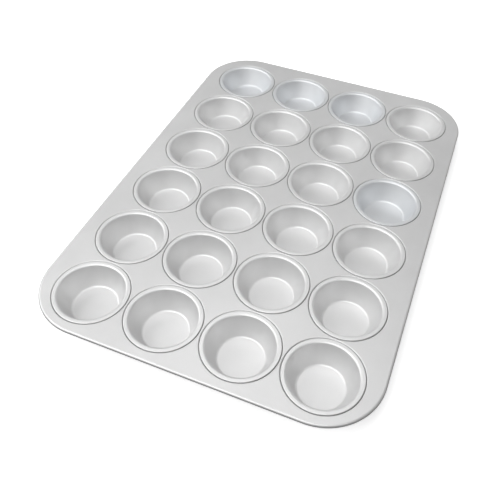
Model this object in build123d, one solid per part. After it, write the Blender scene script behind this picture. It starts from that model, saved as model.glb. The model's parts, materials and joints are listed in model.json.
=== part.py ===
from build123d import *
import os

# A muffin tin: one sheet aluminium deck with twenty-four drawn cups seamed into it.
# Millimetres, +Z up. The origin is on the plane that the cup bottoms stand on, in the middle of
# the deck's outline. +X runs along the row of four cups and +Y along the row of six.

# Layout of the cups
PITCH = 62.0                # centre to centre, the same both ways
COLUMNS = 4                 # cups along X
ROWS = 6                    # cups along Y
GRID_SHIFT = -2.8           # the cups sit this much nearer the -Y end of the deck

# Deck
DECK_WIDTH = 273.6          # along X, over the rolled rim
DECK_LENGTH = 392.0         # along Y, over the rolled rim
DECK_CORNER = 46.5          # outer corner radius
DECK_TOP = 18.7             # height of the flat top face
DECK_SHEET = 0.7            # sheet thickness
BEAD_RADIUS = 1.9           # outside radius of the rolled rim
BEAD_WRAP = 290.0           # degrees that the sheet turns round the wire
WIRE_RADIUS = 1.15          # steel wire inside the rolled rim

# Cup
CUP_SHEET = 0.6             # sheet thickness
RING_PROUD = 0.2            # the flat ring stands this much above the deck
FLOOR_CORNER = 18.46        # radius at which the floor's and the wall's middle lines meet
FLOOR_BEND = 2.3            # bend radius there, on the middle line
LIP_CORNER = 26.36          # radius at which the wall's and the ring's middle lines meet
LIP_BEND = 1.9
SHOULDER = 29.6             # radius at which the ring turns down
SHOULDER_BEND = 0.55
HEM_OUTER = 29.8            # outer leaf of the folded hem, at its foot
HEM_INNER = 29.0            # inner leaf
HEM_BEND = 0.35
HEM_HEIGHT = 0.65           # height of the inner leaf's middle line

# Seam channel, which the deck sheet forms round each hole
HOLE_RADIUS = 30.95         # the flat of the deck ends here and turns down into the channel
CHANNEL_OUTER = 30.45       # radius of the channel's outer wall, on its middle line
CHANNEL_INNER = 28.2        # radius of its inner wall
CHANNEL_BEND = 0.48
CHANNEL_DEPTH = 2.25        # from the deck's top face down to the ledge that carries the hem
TIP_END = 28.95             # the channel's tip reaches out over the hem to this radius
TIP_DROP = 0.85             # from the deck's top face down to the tip's middle line
TIP_BEND = 0.45


def cup_positions():
    """Yield the row number, the column number and the centre of each cup."""
    for row in range(ROWS):
        for column in range(COLUMNS):
            x = (column - (COLUMNS - 1) / 2) * PITCH
            y = (row - (ROWS - 1) / 2) * PITCH + GRID_SHIFT
            yield row + 1, column + 1, (x, y)


def parallel_line(points, bends, distance):
    """The line parallel to a bent line, to its left where the distance is positive."""
    corners = [Vector(*point) for point in points]
    runs = [(end - start).normalized() for start, end in zip(corners, corners[1:])]
    lefts = [Vector(-run.Y, run.X) for run in runs]
    moved = [corners[0] + lefts[0] * distance]
    radii = []
    for index, bend in enumerate(bends):
        before, after = lefts[index], lefts[index + 1]
        moved.append(corners[index + 1] + (before + after) * (distance / (1 + before.dot(after))))
        turns_left = runs[index].cross(runs[index + 1]).Z > 0
        radii.append(bend - distance if turns_left else bend + distance)
    moved.append(corners[-1] + lefts[-1] * distance)
    return FilletPolyline(*moved, radius=radii)


def turned_sheet(points, bends, thickness):
    """Turn a bent sheet about Z: its middle line is given as (radius, height) points."""
    with BuildPart() as turned:
        with BuildSketch(Plane.XZ):
            with BuildLine():
                one_side = parallel_line(points, bends, thickness / 2)
                other_side = parallel_line(points, bends, -thickness / 2)
                Line(one_side @ 0, other_side @ 0)
                Line(one_side @ 1, other_side @ 1)
            make_face()
        revolve(axis=Axis.Z)
    return turned.part


def cup():
    """One drawn cup: floor, tapered wall, flat ring, and a folded hem under the ring's edge."""
    half = CUP_SHEET / 2
    ring = DECK_TOP + RING_PROUD - half
    hem_foot = DECK_TOP - CHANNEL_DEPTH + half
    points = [
        (0, half),
        (FLOOR_CORNER, half),
        (LIP_CORNER, ring),
        (SHOULDER, ring),
        (HEM_OUTER, hem_foot),
        (HEM_INNER, hem_foot),
        (HEM_INNER, hem_foot + HEM_HEIGHT),
    ]
    return turned_sheet(points, [FLOOR_BEND, LIP_BEND, SHOULDER_BEND, HEM_BEND, HEM_BEND], CUP_SHEET)


def seam_channel():
    """The deck sheet's edge at one hole: down, in under the hem, up and out over its inner leaf."""
    half = DECK_SHEET / 2
    ledge = DECK_TOP - CHANNEL_DEPTH - half
    tip = DECK_TOP - TIP_DROP
    points = [
        (HOLE_RADIUS, DECK_TOP - half),
        (CHANNEL_OUTER, DECK_TOP - half),
        (CHANNEL_OUTER, ledge),
        (CHANNEL_INNER, ledge),
        (CHANNEL_INNER, tip),
        (TIP_END, tip),
    ]
    return turned_sheet(points, [CHANNEL_BEND, CHANNEL_BEND, TIP_BEND, TIP_BEND], DECK_SHEET)


def round_the_rim(section):
    """Carry an upright section round the rounded rectangle that the middle of the rim follows."""
    half_width = DECK_WIDTH / 2 - BEAD_RADIUS
    half_length = DECK_LENGTH / 2 - BEAD_RADIUS
    corner = DECK_CORNER - BEAD_RADIUS
    height = DECK_TOP - BEAD_RADIUS
    ring = Part()
    for side, (reach, run) in enumerate([(half_width, half_length), (half_length, half_width)] * 2):
        straight = run - corner
        face = Plane.XZ.offset(straight) * Pos(reach, height) * section
        turn_axis = Axis((reach - corner, -straight, 0), (0, 0, 1))
        quarter = Rot(0, 0, 90 * side)
        ring += quarter * extrude(face, amount=-2 * straight)
        ring += quarter * revolve(face, turn_axis, -90)
    return ring


def rolled_rim():
    """The deck sheet's outer edge, rolled down and under round the wire."""
    inner = BEAD_RADIUS - DECK_SHEET
    with BuildSketch() as section:
        with BuildLine():
            outer_roll = CenterArc((0, 0), BEAD_RADIUS, 90, -BEAD_WRAP)
            inner_roll = CenterArc((0, 0), inner, 90, -BEAD_WRAP)
            Line(outer_roll @ 0, inner_roll @ 0)
            Line(outer_roll @ 1, inner_roll @ 1)
        make_face()
    return round_the_rim(section.sketch)


def rim_wire():
    """The steel wire that stiffens the rim."""
    return round_the_rim(Circle(WIRE_RADIUS))


def deck():
    """The deck sheet with its rolled rim and a seam channel round each hole."""
    flat_width = DECK_WIDTH - 2 * BEAD_RADIUS
    flat_length = DECK_LENGTH - 2 * BEAD_RADIUS
    channel = seam_channel()
    rim = rolled_rim()
    centres = [centre for _, _, centre in cup_positions()]
    with BuildPart() as sheet:
        with BuildSketch(Plane.XY.offset(DECK_TOP - DECK_SHEET)):
            RectangleRounded(flat_width, flat_length, DECK_CORNER - BEAD_RADIUS)
            with Locations(*centres):
                Circle(HOLE_RADIUS, mode=Mode.SUBTRACT)
        extrude(amount=DECK_SHEET)
        add(rim)
        for centre in centres:
            add(Pos(*centre) * channel)
    return sheet.part


os.makedirs("parts", exist_ok=True)
export_step(deck(), "parts/deck.step")
export_step(rim_wire(), "parts/rim_wire.step")
one_cup = cup()
for row, column, (x, y) in cup_positions():
    export_step(Pos(x, y) * one_cup, f"parts/cup_r{row}_c{column}.step")
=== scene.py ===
import json
import math

import bmesh
import bpy
from mathutils import Matrix, Vector


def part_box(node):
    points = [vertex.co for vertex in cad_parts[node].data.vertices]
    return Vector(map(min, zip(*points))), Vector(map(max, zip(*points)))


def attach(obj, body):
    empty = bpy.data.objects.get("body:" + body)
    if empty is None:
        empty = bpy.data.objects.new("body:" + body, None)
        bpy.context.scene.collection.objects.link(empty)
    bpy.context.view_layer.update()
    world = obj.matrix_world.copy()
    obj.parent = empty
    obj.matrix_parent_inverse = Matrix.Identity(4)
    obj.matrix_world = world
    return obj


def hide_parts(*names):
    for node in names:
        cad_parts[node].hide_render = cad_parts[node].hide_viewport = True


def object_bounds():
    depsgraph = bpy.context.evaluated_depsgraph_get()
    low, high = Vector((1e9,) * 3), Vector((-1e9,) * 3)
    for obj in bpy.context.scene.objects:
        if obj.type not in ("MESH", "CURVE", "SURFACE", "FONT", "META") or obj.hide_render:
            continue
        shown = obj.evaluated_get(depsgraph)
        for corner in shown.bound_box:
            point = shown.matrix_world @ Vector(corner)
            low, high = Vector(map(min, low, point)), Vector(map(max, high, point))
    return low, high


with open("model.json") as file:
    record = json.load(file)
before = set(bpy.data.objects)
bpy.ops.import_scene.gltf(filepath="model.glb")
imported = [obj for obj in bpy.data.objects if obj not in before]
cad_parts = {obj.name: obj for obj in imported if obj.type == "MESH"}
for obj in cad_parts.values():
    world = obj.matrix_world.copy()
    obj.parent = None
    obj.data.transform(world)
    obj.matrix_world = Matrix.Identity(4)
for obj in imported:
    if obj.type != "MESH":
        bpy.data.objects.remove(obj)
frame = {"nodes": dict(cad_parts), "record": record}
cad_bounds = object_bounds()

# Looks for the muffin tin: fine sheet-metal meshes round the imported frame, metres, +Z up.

MM = 0.001

# Layout, read from the frame
COLUMNS, ROWS = 4, 6
CUP_NODES = [f"cup_r{row}_c{column}" for row in range(1, ROWS + 1) for column in range(1, COLUMNS + 1)]
DECK_LOW, DECK_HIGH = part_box("deck")
DECK_TOP = DECK_HIGH.z


def node_centre(node):
    """The middle of a node's box."""
    low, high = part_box(node)
    return (low + high) / 2


CUP_CENTRES = {node: node_centre(node) for node in CUP_NODES}
PITCH = CUP_CENTRES["cup_r1_c2"].x - CUP_CENTRES["cup_r1_c1"].x

# Sections of the sheet metal, the same as the frame's
DECK_SHEET = 0.7 * MM
CUP_SHEET = 0.6 * MM
RING_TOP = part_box("cup_r1_c1")[1].z
CORNER_RADIUS = 46.5 * MM
BEAD_RADIUS = 1.9 * MM
BEAD_WRAP = math.radians(290)
HOLE_RADIUS = 30.95 * MM
HEM_FOOT = DECK_TOP - 2.25 * MM

# Fineness of the meshes
CIRCLE_STEPS = 72           # round each hole and each cup, a multiple of 8
WRAP_STEPS = 30             # round the rolled rim
MERGE_DISTANCE = 2e-6       # points nearer than this are one point

# Painted shade: the seam is toned darker than its shape alone makes it, to match the photograph's groove,
# in place of the shadow that falls there
SEAM_SHADE_START = 29.4 * MM      # the ring's edge darkens outside this radius
SEAM_SHADE_FADE = 0.45 * MM       # and is darkest this much further out
SEAM_SHADE_TONE = 0.6             # how light the metal in the seam is beside the rest

# Stage
FLOOR_REACH = 6.0
FLOOR_GAP = 0.05 * MM       # between the cups' undersides and the floor
LIGHT_DISTANCE = 1.7
LIGHT_SIZE = 1.0


def sheet_side(points, bends, steps, distance):
    """One face of a bent sheet: the line parallel to its middle line, each bend as an arc."""
    corners = [Vector(point) for point in points]
    runs = [(end - start).normalized() for start, end in zip(corners, corners[1:])]
    lefts = [Vector((-run.y, run.x)) for run in runs]
    line = [corners[0] + lefts[0] * distance]
    for index, (bend, count) in enumerate(zip(bends, steps)):
        run, after = runs[index], runs[index + 1]
        side = 1 if run.x * after.y - run.y * after.x > 0 else -1
        miter = (lefts[index] + lefts[index + 1]) / (1 + lefts[index].dot(lefts[index + 1]))
        corner = corners[index + 1] + miter * distance
        radius = bend - side * distance
        turn = run.angle(after)
        start = corner - run * radius * math.tan(turn / 2)
        centre = start + lefts[index] * radius * side
        for step in range(count + 1):
            line.append(centre + Matrix.Rotation(side * turn * step / count, 2) @ (start - centre))
    line.append(corners[-1] + lefts[-1] * distance)
    return line


def turn_round(bm, line, centre, steps):
    """Turn a line of (radius, height) about the vertical through centre, as a net of quads."""
    rings = []
    for radius, height in line:
        if radius < 1e-6:
            rings.append([bm.verts.new((centre.x, centre.y, height))] * steps)
            continue
        ring = []
        for step in range(steps):
            angle = math.tau * step / steps
            place = (centre.x + radius * math.cos(angle), centre.y + radius * math.sin(angle), height)
            ring.append(bm.verts.new(place))
        rings.append(ring)
    join_rings(bm, rings)
    return rings


def join_rings(bm, rings):
    """Quads between each ring of points and the next, or triangles where one ring is a point."""
    for inner, outer in zip(rings, rings[1:]):
        for index in range(len(inner)):
            after = (index + 1) % len(inner)
            corners = [inner[index], inner[after], outer[after], outer[index]]
            corners = list(dict.fromkeys(corners))
            if len(corners) > 2:
                bm.faces.new(corners)


def mark_seam_shade(bm, depth):
    """Give each point how deep it lies in the seam's painted shade, 0 on the open faces and 1 inside."""
    layer = bm.verts.layers.float.new("seam")
    for vert in bm.verts:
        vert[layer] = min(1.0, max(0.0, depth(vert.co)))


def piece_from(bm, name, material, node):
    """Make the mesh a smooth piece that rides on the root and stands for a CAD node."""
    bmesh.ops.remove_doubles(bm, verts=bm.verts, dist=MERGE_DISTANCE)
    bmesh.ops.recalc_face_normals(bm, faces=bm.faces)
    mesh = bpy.data.meshes.new(name)
    bm.to_mesh(mesh)
    bm.free()
    mesh.polygons.foreach_set("use_smooth", [True] * len(mesh.polygons))
    mesh.materials.append(material)
    piece = bpy.data.objects.new(name, mesh)
    bpy.context.scene.collection.objects.link(piece)
    even = piece.modifiers.new("even_normals", "WEIGHTED_NORMAL")
    even.mode = "FACE_AREA"
    even.weight = 80
    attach(piece, "root")
    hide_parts(node)
    return piece


# ---------------------------------------------------------------- geometry

def cup_section():
    """Both faces of a cup's sheet, from the middle of its floor out to the end of its hem."""
    half = CUP_SHEET / 2
    ring = RING_TOP - half
    foot = HEM_FOOT + half
    points = [
        (0, half), (18.46 * MM, half), (26.36 * MM, ring), (29.6 * MM, ring),
        (29.8 * MM, foot), (29.0 * MM, foot), (29.0 * MM, foot + 0.65 * MM),
    ]
    bends = [2.3 * MM, 1.9 * MM, 0.55 * MM, 0.35 * MM, 0.35 * MM]
    steps = [10, 12, 8, 3, 3]
    return [sheet_side(points, bends, steps, side * half) for side in (1, -1)]


def make_cup(node, material):
    """One drawn cup with its ring and folded hem."""
    inside, outside = cup_section()
    bm = bmesh.new()
    centre = CUP_CENTRES[node]
    turn_round(bm, inside + outside[::-1], centre, CIRCLE_STEPS)
    # Painted shade on the ring's outer edge and hem, darkest deep in the seam
    mark_seam_shade(bm, lambda spot: ((spot - centre).xy.length - SEAM_SHADE_START) / SEAM_SHADE_FADE)
    return piece_from(bm, node.replace("cup", "drawn_cup"), material, node)


def channel_section():
    """Both faces of the deck's sheet at a hole, from the flat to the tip over the hem."""
    half = DECK_SHEET / 2
    ledge = HEM_FOOT - half
    tip = DECK_TOP - 0.85 * MM
    points = [
        (HOLE_RADIUS, DECK_TOP - half), (30.45 * MM, DECK_TOP - half), (30.45 * MM, ledge),
        (28.2 * MM, ledge), (28.2 * MM, tip), (28.95 * MM, tip),
    ]
    bends = [0.48 * MM, 0.48 * MM, 0.45 * MM, 0.45 * MM]
    steps = [6, 3, 3, 3]
    return [sheet_side(points, bends, steps, side * half) for side in (-1, 1)]


def rim_point(x, y):
    """The nearest place on the flat's rounded outline to a point beyond the cups, and its outward way."""
    centre = Vector(((DECK_LOW.x + DECK_HIGH.x) / 2, (DECK_LOW.y + DECK_HIGH.y) / 2))
    reach = Vector(((DECK_HIGH.x - DECK_LOW.x) / 2, (DECK_HIGH.y - DECK_LOW.y) / 2))
    reach -= Vector((BEAD_RADIUS, BEAD_RADIUS))
    corner = CORNER_RADIUS - BEAD_RADIUS
    spot = Vector((x, y)) - centre
    sign = Vector((math.copysign(1, spot.x), math.copysign(1, spot.y)))
    away = Vector((abs(spot.x), abs(spot.y)))
    past = away - (reach - Vector((corner, corner)))
    if past.x > 0 and past.y > 0:
        outward = past.normalized()
        edge = reach - Vector((corner, corner)) + outward * corner
    elif past.x / corner > past.y / corner:
        outward = Vector((1, 0))
        edge = Vector((reach.x, away.y))
    else:
        outward = Vector((0, 1))
        edge = Vector((away.x, reach.y))
    edge = Vector((edge.x * sign.x, edge.y * sign.y)) + centre
    return edge, Vector((outward.x * sign.x, outward.y * sign.y))


def cell_spot(centre, angle):
    """Where a ray from a cup's centre meets the square cell round it, or the deck's rounded corner."""
    way = Vector((math.cos(angle), math.sin(angle)))
    return Vector((centre.x, centre.y)) + way * (PITCH / 2 / max(abs(way.x), abs(way.y)))


def held_in(spot):
    """The spot, or the nearest place on the flat's outline if it lies outside it."""
    edge, outward = rim_point(*spot)
    return edge if (spot - edge).dot(outward) > 0 else spot


def make_deck(material):
    """The deck: flat faces as one square cell for each cup, the seam channels and the rolled rim."""
    bm = bmesh.new()
    top_line, under_line = channel_section()
    levels = (DECK_TOP, DECK_TOP - DECK_SHEET)
    angles = [math.tau * step / CIRCLE_STEPS for step in range(CIRCLE_STEPS)]
    for centre in CUP_CENTRES.values():
        turn_round(bm, top_line + under_line[::-1], centre, CIRCLE_STEPS)
        for level in levels:
            hole = []
            for angle in angles:
                x = centre.x + HOLE_RADIUS * math.cos(angle)
                y = centre.y + HOLE_RADIUS * math.sin(angle)
                hole.append(bm.verts.new((x, y, level)))
            edge = [bm.verts.new((*held_in(cell_spot(centre, angle)), level)) for angle in angles]
            join_rings(bm, [hole, edge])
    add_margin_and_rim(bm, angles)
    return piece_from(bm, "rolled_deck", material, "deck")


def grid_outline(angles):
    """The points of the outermost cells' outer sides, once round, in order of angle."""
    lows = CUP_CENTRES["cup_r1_c1"]
    highs = CUP_CENTRES[f"cup_r{ROWS}_c{COLUMNS}"]
    half = PITCH / 2
    spots = set()
    for centre in CUP_CENTRES.values():
        for angle in angles:
            spot = cell_spot(centre, angle)
            on_x = min(abs(spot.x - lows.x + half), abs(spot.x - highs.x - half)) < 1e-6
            on_y = min(abs(spot.y - lows.y + half), abs(spot.y - highs.y - half)) < 1e-6
            if on_x or on_y:
                spots.add(tuple(round(value, 6) for value in held_in(spot)))
    middle = (lows + highs) / 2
    return sorted(spots, key=lambda s: math.atan2(s[1] - middle.y, s[0] - middle.x))


def add_margin_and_rim(bm, angles):
    """The flat margin outside the cups, and the sheet rolled round the wire beyond it."""
    spots = grid_outline(angles)
    edges = [rim_point(x, y) for x, y in spots]
    axis_height = DECK_TOP - BEAD_RADIUS
    for level, radius in ((DECK_TOP, BEAD_RADIUS), (DECK_TOP - DECK_SHEET, BEAD_RADIUS - DECK_SHEET)):
        rings = [[bm.verts.new((x, y, level)) for x, y in spots]]
        for step in range(WRAP_STEPS + 1):
            angle = BEAD_WRAP * step / WRAP_STEPS
            out, up = radius * math.sin(angle), radius * math.cos(angle)
            rings.append([
                bm.verts.new((*(edge + outward * out), axis_height + up)) for edge, outward in edges
            ])
        join_rings(bm, rings)
        last = rings[-1]
        if level == DECK_TOP:
            outer_end = last
    join_rings(bm, [outer_end, last])


# ---------------------------------------------------------------- materials

def satin_aluminium(name, colour, roughness, grain):
    """Anodised sheet: even satin metal with a very fine grain, faint cloudy variation and painted shade
    in the seam.
    """
    material = bpy.data.materials.new(name)
    material.use_nodes = True
    tree = material.node_tree
    nodes, links = tree.nodes, tree.links
    shader = nodes["Principled BSDF"]
    shader.inputs["Metallic"].default_value = 1.0
    shader.inputs["Coat Weight"].default_value = 0.3
    shader.inputs["Coat Roughness"].default_value = 0.25
    where = nodes.new("ShaderNodeTexCoord")

    cloud = nodes.new("ShaderNodeTexNoise")
    cloud.inputs["Scale"].default_value = 22
    cloud.inputs["Detail"].default_value = 4
    cloud.inputs["Roughness"].default_value = 0.55
    links.new(where.outputs["Object"], cloud.inputs["Vector"])
    tone = nodes.new("ShaderNodeValToRGB")
    tone.color_ramp.elements[0].position = 0.3
    tone.color_ramp.elements[0].color = (*[c * 0.96 for c in colour], 1)
    tone.color_ramp.elements[1].position = 0.7
    tone.color_ramp.elements[1].color = (*[min(1, c * 1.03) for c in colour], 1)
    links.new(cloud.outputs["Fac"], tone.inputs["Fac"])

    # Painted shade: the seam mask mixes the colour down towards a darker tone of the same metal
    seam = nodes.new("ShaderNodeAttribute")
    seam.attribute_name = "seam"
    edge = nodes.new("ShaderNodeMix")
    edge.data_type = "RGBA"
    edge.inputs["B"].default_value = (*[c * SEAM_SHADE_TONE for c in colour], 1)
    links.new(seam.outputs["Fac"], edge.inputs["Factor"])
    links.new(tone.outputs["Color"], edge.inputs["A"])
    links.new(edge.outputs["Result"], shader.inputs["Base Color"])

    speck = nodes.new("ShaderNodeTexNoise")
    speck.inputs["Scale"].default_value = grain
    speck.inputs["Detail"].default_value = 3
    links.new(where.outputs["Object"], speck.inputs["Vector"])
    rough = nodes.new("ShaderNodeMapRange")
    rough.inputs["From Min"].default_value = 0.3
    rough.inputs["From Max"].default_value = 0.7
    rough.inputs["To Min"].default_value = roughness - 0.04
    rough.inputs["To Max"].default_value = roughness + 0.04
    links.new(speck.outputs["Fac"], rough.inputs["Value"])
    links.new(rough.outputs["Result"], shader.inputs["Roughness"])

    bump = nodes.new("ShaderNodeBump")
    bump.inputs["Strength"].default_value = 0.12
    bump.inputs["Distance"].default_value = 0.02 * MM
    links.new(speck.outputs["Fac"], bump.inputs["Height"])
    links.new(bump.outputs["Normal"], shader.inputs["Normal"])
    return material


def pale_floor():
    """A plain matt white floor, lit faintly from below as a light table is, and dimmer in reflections."""
    material = bpy.data.materials.new("floor_white")
    material.use_nodes = True
    nodes, links = material.node_tree.nodes, material.node_tree.links
    shader = nodes["Principled BSDF"]
    shader.inputs["Roughness"].default_value = 0.9
    shader.inputs["Specular IOR Level"].default_value = 0.0
    shader.inputs["Emission Color"].default_value = (1, 1, 1, 1)
    ray = nodes.new("ShaderNodeLightPath")
    for name, seen, reflected in (("Base Color", 0.93, 0.22), ("Emission Strength", 0.4, 0.0)):
        value = nodes.new("ShaderNodeMapRange")
        value.inputs["To Min"].default_value = seen
        value.inputs["To Max"].default_value = reflected
        links.new(ray.outputs["Is Glossy Ray"], value.inputs["Value"])
        links.new(value.outputs["Result"], shader.inputs[name])
    return material


# ---------------------------------------------------------------- stage, camera and light

def make_floor():
    """A wide square floor under the cups."""
    bm = bmesh.new()
    bmesh.ops.create_grid(bm, x_segments=4, y_segments=4, size=FLOOR_REACH)
    mesh = bpy.data.meshes.new("floor")
    bm.to_mesh(mesh)
    bm.free()
    floor = bpy.data.objects.new("floor", mesh)
    floor.location.z = cad_bounds[0].z - FLOOR_GAP
    mesh.materials.append(pale_floor())
    bpy.context.scene.collection.objects.link(floor)


def aim(obj, way, roll=0.0):
    """Turn an object so that it looks along a direction."""
    obj.rotation_mode = "QUATERNION"
    level = way.to_track_quat("-Z", "Y")
    obj.rotation_quaternion = level @ Matrix.Rotation(roll, 4, "Z").to_quaternion()


def make_camera():
    """The camera, in front of the tin and to its right, looking down across it to the left."""
    data = bpy.data.cameras.new("camera")
    data.sensor_width = 36
    data.lens = 45.13
    data.shift_x, data.shift_y = -0.0316, -0.0439
    data.clip_start, data.clip_end = 0.01, 50
    camera = bpy.data.objects.new("camera", data)
    bpy.context.scene.collection.objects.link(camera)
    camera.location = (0.1237, -0.3787, 0.3985)
    turn, dip, roll = math.radians(20.18), math.radians(46.27), math.radians(2.13)
    way = Vector((-math.sin(turn) * math.cos(dip), math.cos(turn) * math.cos(dip), -math.sin(dip)))
    aim(camera, way, roll)
    bpy.context.scene.camera = camera


def make_light(name, side, height, power):
    """A soft square light facing the tin, side degrees to the right of its back and height degrees up."""
    data = bpy.data.lights.new(name, "AREA")
    data.size = LIGHT_SIZE
    data.energy = power
    light = bpy.data.objects.new(name, data)
    bpy.context.scene.collection.objects.link(light)
    side, height = math.radians(side), math.radians(height)
    way = Vector((math.sin(side) * math.cos(height), math.cos(side) * math.cos(height), math.sin(height)))
    light.location = way * LIGHT_DISTANCE
    aim(light, -way)


def make_world():
    """A pale backdrop for the camera beyond the floor, and a dim even glow on the tin."""
    world = bpy.data.worlds.new("studio")
    bpy.context.scene.world = world
    world.use_nodes = True
    nodes, links = world.node_tree.nodes, world.node_tree.links
    background = nodes["Background"]
    background.inputs["Color"].default_value = (1, 1, 1, 1)
    ray = nodes.new("ShaderNodeLightPath")
    strength = nodes.new("ShaderNodeMapRange")
    strength.inputs["To Min"].default_value = 0.08
    strength.inputs["To Max"].default_value = 0.9
    links.new(ray.outputs["Is Camera Ray"], strength.inputs["Value"])
    links.new(strength.outputs["Result"], background.inputs["Strength"])


bpy.context.scene.view_settings.view_transform = "Standard"
deck_metal = satin_aluminium("deck_aluminium", (0.68, 0.68, 0.68), 0.56, 2600)
cup_metal = satin_aluminium("cup_aluminium", (0.72, 0.72, 0.72), 0.54, 2600)
cool_metal = satin_aluminium("cup_aluminium_cool", (0.71, 0.722, 0.735), 0.54, 2600)
wire_metal = satin_aluminium("wire_steel", (0.55, 0.55, 0.56), 0.3, 3000)

make_deck(deck_metal)
cup_metals = {"cup_aluminium": cup_metal, "cup_aluminium_cool": cool_metal}
cup_slots = {part["node"]: part["material_slot"] for part in frame["record"]["subparts"]}
for cup_node in CUP_NODES:
    cup_slot = cup_slots[cup_node]
    make_cup(cup_node, cup_metals[cup_slot])
wire = frame["nodes"]["rim_wire"]
wire.data.materials.clear()
wire.data.materials.append(wire_metal)

make_floor()
make_camera()
make_world()

# A ring of soft lights and one overhead: the directions and powers began as a fit of renders with
# one light each to the photograph's brightness, and were merged and rounded.
make_light("top", 342, 76, 8.5)
make_light("front", 180, 45, 10)
make_light("front_left", 225, 38, 11)
make_light("left", 270, 30, 9)
make_light("back_left", 315, 30, 3)
make_light("back", 0, 20, 3)
make_light("back_right", 45, 20, 3)
make_light("right", 90, 35, 2)
make_light("front_right", 135, 50, 4)
